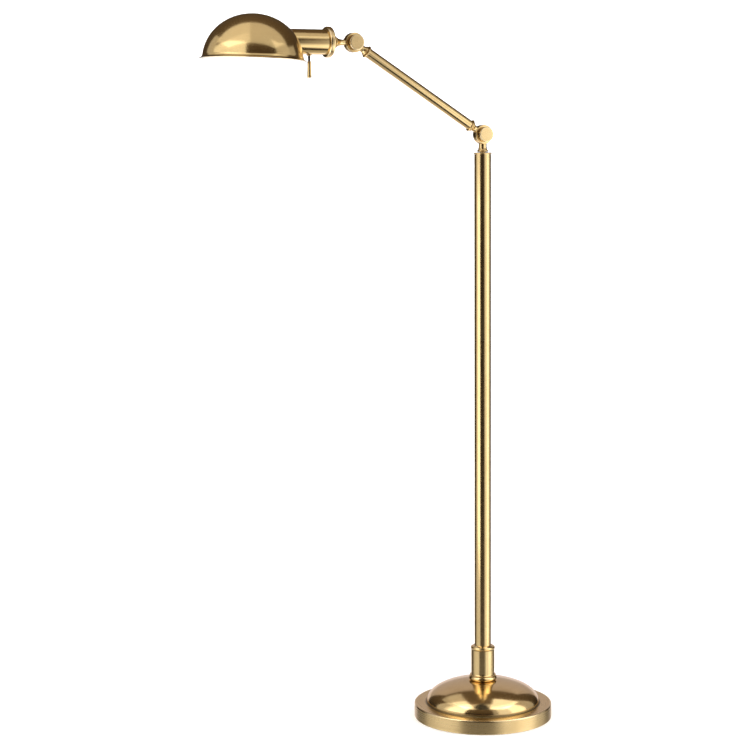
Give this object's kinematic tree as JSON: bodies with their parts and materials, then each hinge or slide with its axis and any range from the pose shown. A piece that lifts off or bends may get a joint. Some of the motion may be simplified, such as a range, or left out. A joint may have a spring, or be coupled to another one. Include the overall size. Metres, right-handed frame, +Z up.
{
  "type": "pharmacy floor lamp",
  "caption": "Brass floor lamp with a weighted domed base, slim column, tilting arm on knuckle joints and a domed metal shade on a socket cup with a hanging turn switch.",
  "frame": {"origin": "centre of the base on the floor, on the column's axis", "axes": "+Z up along the column; the arm and the head reach towards -X; -Y is the side with the clamp knobs"},
  "size_m": [0.6635, 0.254, 1.2783],
  "materials": {
    "brass": "satin aged brass, lacquered, fine turning marks",
    "shade_brass": "aged brass outside, white enamel inside",
    "iron": "black painted casting",
    "steel": "zinc plated",
    "felt": "green felt",
    "fibre": "vulcanised fibre",
    "bushing": "black snap bushing",
    "lead": "brown insulation",
    "phenolic": "moulded phenolic",
    "contact_brass": "bright brass",
    "bulb_metal": "nickel plated",
    "bulb_glass": "opal glass"
  },
  "bodies": {
    "stand": {"base_pad": "felt", "base_weight": "iron", "base_cover": "brass", "base_washer": "steel", "base_lock_nut": "steel", "base_nipple": "steel", "base_spacer": "steel", "cord_inlet_bushing": "bushing", "ferrule_ring": "brass", "column_ferrule": "brass", "ferrule_grub_screw": "steel", "column_foot_plug": "steel", "column_tube": "brass", "column_top_cap": "brass", "column_lead": "lead"},
    "post_swivel": {"lower_post_half": "brass", "swivel_washer": "fibre", "swivel_thrust_washer": "steel", "swivel_nut": "steel", "lower_cap_nut": "brass"},
    "arm": {"lower_arm_half": "brass", "lower_friction_washer": "fibre", "lower_arm_collar": "brass", "arm_tube": "brass", "arm_lead": "lead", "upper_arm_collar": "brass", "upper_arm_half": "brass", "upper_friction_washer": "fibre"},
    "lower_clamp": {"lower_clamp_bolt": "steel", "lower_clamp_knob": "brass"},
    "head_yoke": {"upper_head_half": "brass", "upper_cap_nut": "brass", "head_lock_nut": "steel"},
    "upper_clamp": {"upper_clamp_bolt": "steel", "upper_clamp_knob": "brass"},
    "head": {"cup_end_cap": "brass", "cap_grub_screw": "steel", "socket_cup": "brass", "shade": "shade_brass", "lampholder_body": "phenolic", "lampholder_shell": "contact_brass", "lampholder_contact": "contact_brass", "bulb_cap": "bulb_metal", "bulb_globe": "bulb_glass", "switch_bushing": "brass"},
    "switch": {"switch_stem": "steel", "switch_knob": "brass"}
  },
  "joints": [
    {"name": "column_swivel", "type": "hinge", "parent": "stand", "child": "post_swivel", "pos_m": [0, 0, 1.0412], "axis": [0, 0, 1], "range_deg": [-170, 170]},
    {"name": "arm_tilt", "type": "hinge", "parent": "post_swivel", "child": "arm", "pos_m": [0, 0, 1.0734], "axis": [0, 1, 0], "range_deg": [-60, 55]},
    {"name": "lower_clamp_turn", "type": "hinge", "parent": "arm", "child": "lower_clamp", "pos_m": [0, 0, 1.0734], "axis": [0, -1, 0], "range_deg": [0, 180]},
    {"name": "head_tilt", "type": "hinge", "parent": "arm", "child": "head_yoke", "pos_m": [-0.25441, 0, 1.23238], "axis": [0, 1, 0], "range_deg": [-60, 60]},
    {"name": "upper_clamp_turn", "type": "hinge", "parent": "head_yoke", "child": "upper_clamp", "pos_m": [-0.25441, 0, 1.23238], "axis": [0, -1, 0], "range_deg": [0, 180]},
    {"name": "head_roll", "type": "hinge", "parent": "head_yoke", "child": "head", "pos_m": [-0.28841, 0, 1.23238], "axis": [-1, 0, 0], "range_deg": [-90, 90]},
    {"name": "switch_turn", "type": "hinge", "parent": "head", "child": "switch", "pos_m": [-0.33871, 0, 1.2078], "axis": [0, 0, 1], "continuous": true}
  ]
}
